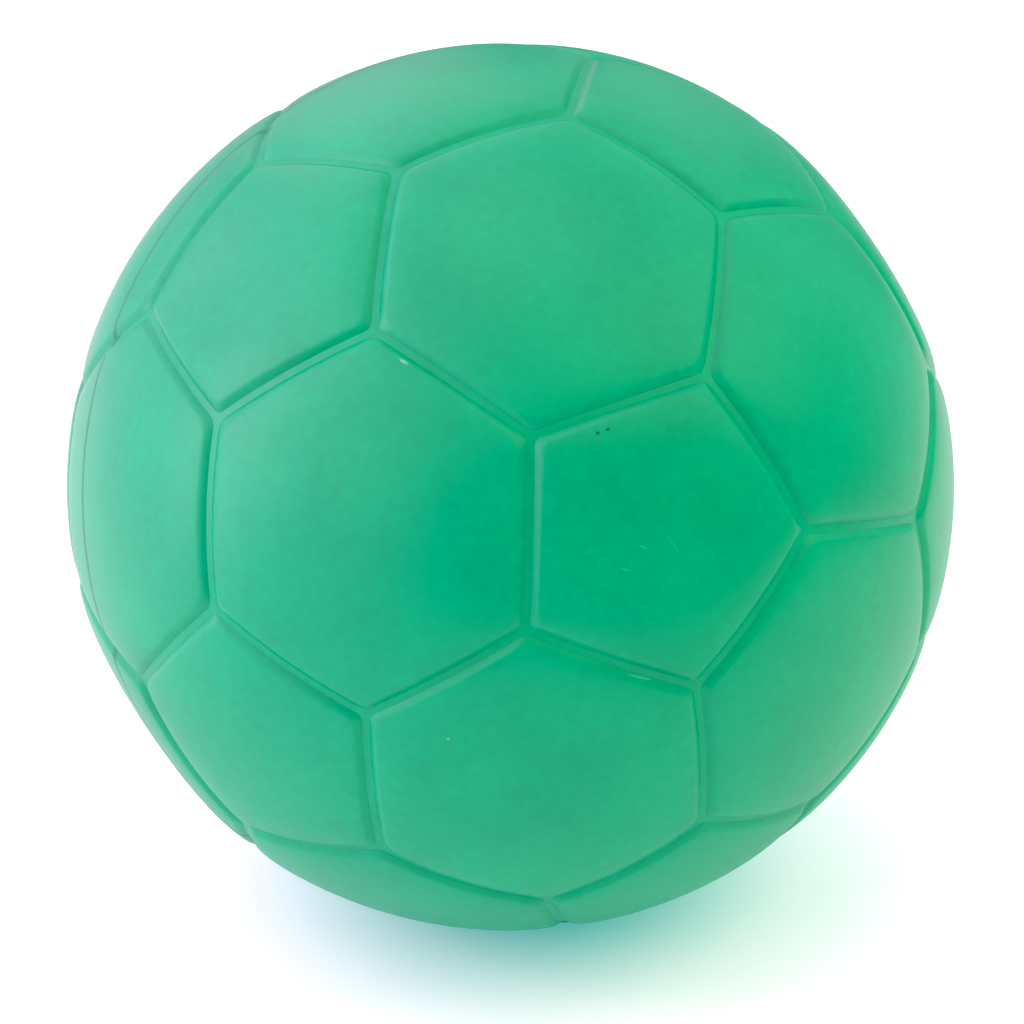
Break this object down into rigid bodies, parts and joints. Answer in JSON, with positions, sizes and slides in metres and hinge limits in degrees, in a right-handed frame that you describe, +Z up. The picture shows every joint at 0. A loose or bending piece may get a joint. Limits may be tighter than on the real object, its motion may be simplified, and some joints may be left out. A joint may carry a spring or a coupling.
{
  "type": "playground ball",
  "caption": "Inflated moulded rubber ball with pillowed pentagon and hexagon cover panels, recessed channels and an inflating valve, for kicking and bouncing in play.",
  "frame": {"origin": "centre of the ball", "axes": "+Z up from the floor that the ball rests on, -Y towards the usual viewer; the panel pattern lies turned as the ball came to rest"},
  "size_m": [0.2158, 0.2152, 0.2156],
  "materials": {
    "cover_rubber": "satin moulded rubber, evenly green",
    "channel_rubber": "satin moulded rubber, the same green as the panels",
    "winding_cord": "wound nylon thread set in latex",
    "bladder_butyl": "smooth black butyl",
    "valve_rubber": "soft black rubber"
  },
  "bodies": {
    "root": {"pentagon_panel_01": "cover_rubber", "pentagon_panel_02": "cover_rubber", "pentagon_panel_03": "cover_rubber", "pentagon_panel_04": "cover_rubber", "pentagon_panel_05": "cover_rubber", "pentagon_panel_06": "cover_rubber", "pentagon_panel_07": "cover_rubber", "pentagon_panel_08": "cover_rubber", "pentagon_panel_09": "cover_rubber", "pentagon_panel_10": "cover_rubber", "pentagon_panel_11": "cover_rubber", "pentagon_panel_12": "cover_rubber", "hexagon_panel_01": "cover_rubber", "hexagon_panel_02": "cover_rubber", "hexagon_panel_03": "cover_rubber", "hexagon_panel_04": "cover_rubber", "hexagon_panel_05": "cover_rubber", "hexagon_panel_06": "cover_rubber", "hexagon_panel_07": "cover_rubber", "hexagon_panel_08": "cover_rubber", "hexagon_panel_09": "cover_rubber", "hexagon_panel_10": "cover_rubber", "hexagon_panel_11": "cover_rubber", "hexagon_panel_12": "cover_rubber", "hexagon_panel_13": "cover_rubber", "hexagon_panel_14": "cover_rubber", "hexagon_panel_15": "cover_rubber", "hexagon_panel_16": "cover_rubber", "hexagon_panel_17": "cover_rubber", "hexagon_panel_18": "cover_rubber", "hexagon_panel_19": "cover_rubber", "hexagon_panel_20": "cover_rubber", "carcass_ply": "channel_rubber", "nylon_winding": "winding_cord", "bladder": "bladder_butyl", "valve_housing": "valve_rubber", "valve_plug": "valve_rubber"}
  },
  "joints": []
}
